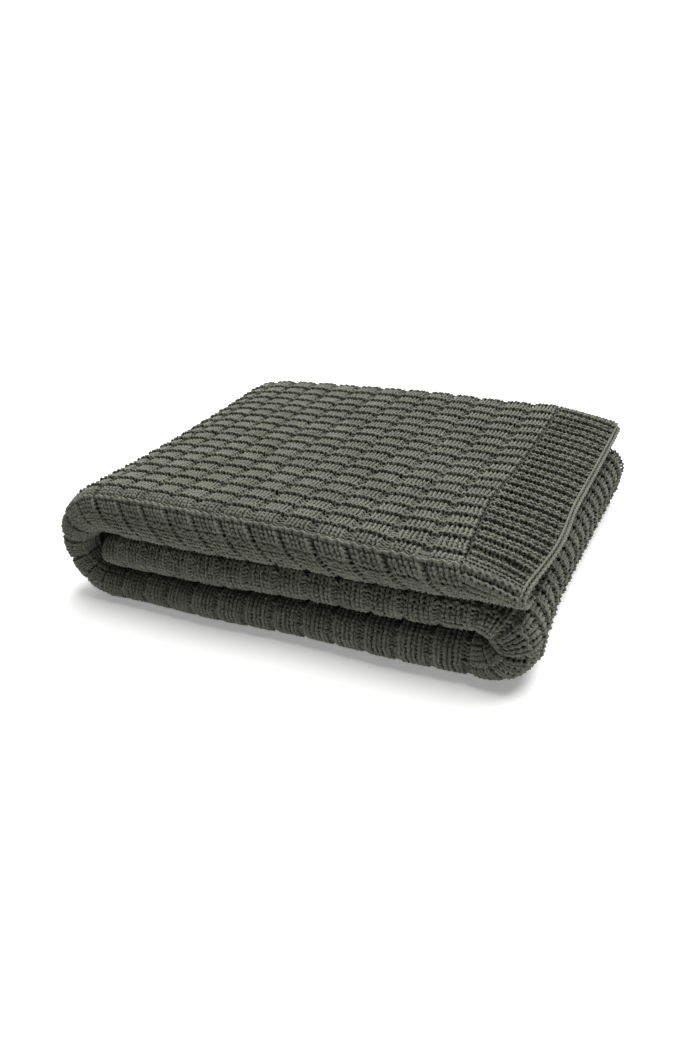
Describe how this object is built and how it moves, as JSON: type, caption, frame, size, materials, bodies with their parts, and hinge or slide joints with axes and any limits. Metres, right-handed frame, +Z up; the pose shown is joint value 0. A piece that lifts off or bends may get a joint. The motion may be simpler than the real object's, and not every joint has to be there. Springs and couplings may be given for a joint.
{
  "type": "throw blanket",
  "caption": "Chunky knitted throw blanket folded into a flat stack, with rounded folds at the front and sides and a ribbed knitted hem along its right end.",
  "frame": {"origin": "middle of the stack's footprint, on the surface that it rests on", "axes": "+X along the folded strip towards the hem, +Y from the front folds to the back, +Z up"},
  "size_m": [0.4758, 0.334, 0.1148],
  "materials": {
    "knit": "matt, soft plied yarn in dark olive grey, knitted in a raised block pattern"
  },
  "bodies": {
    "root": {"blanket": "knit"}
  },
  "joints": []
}
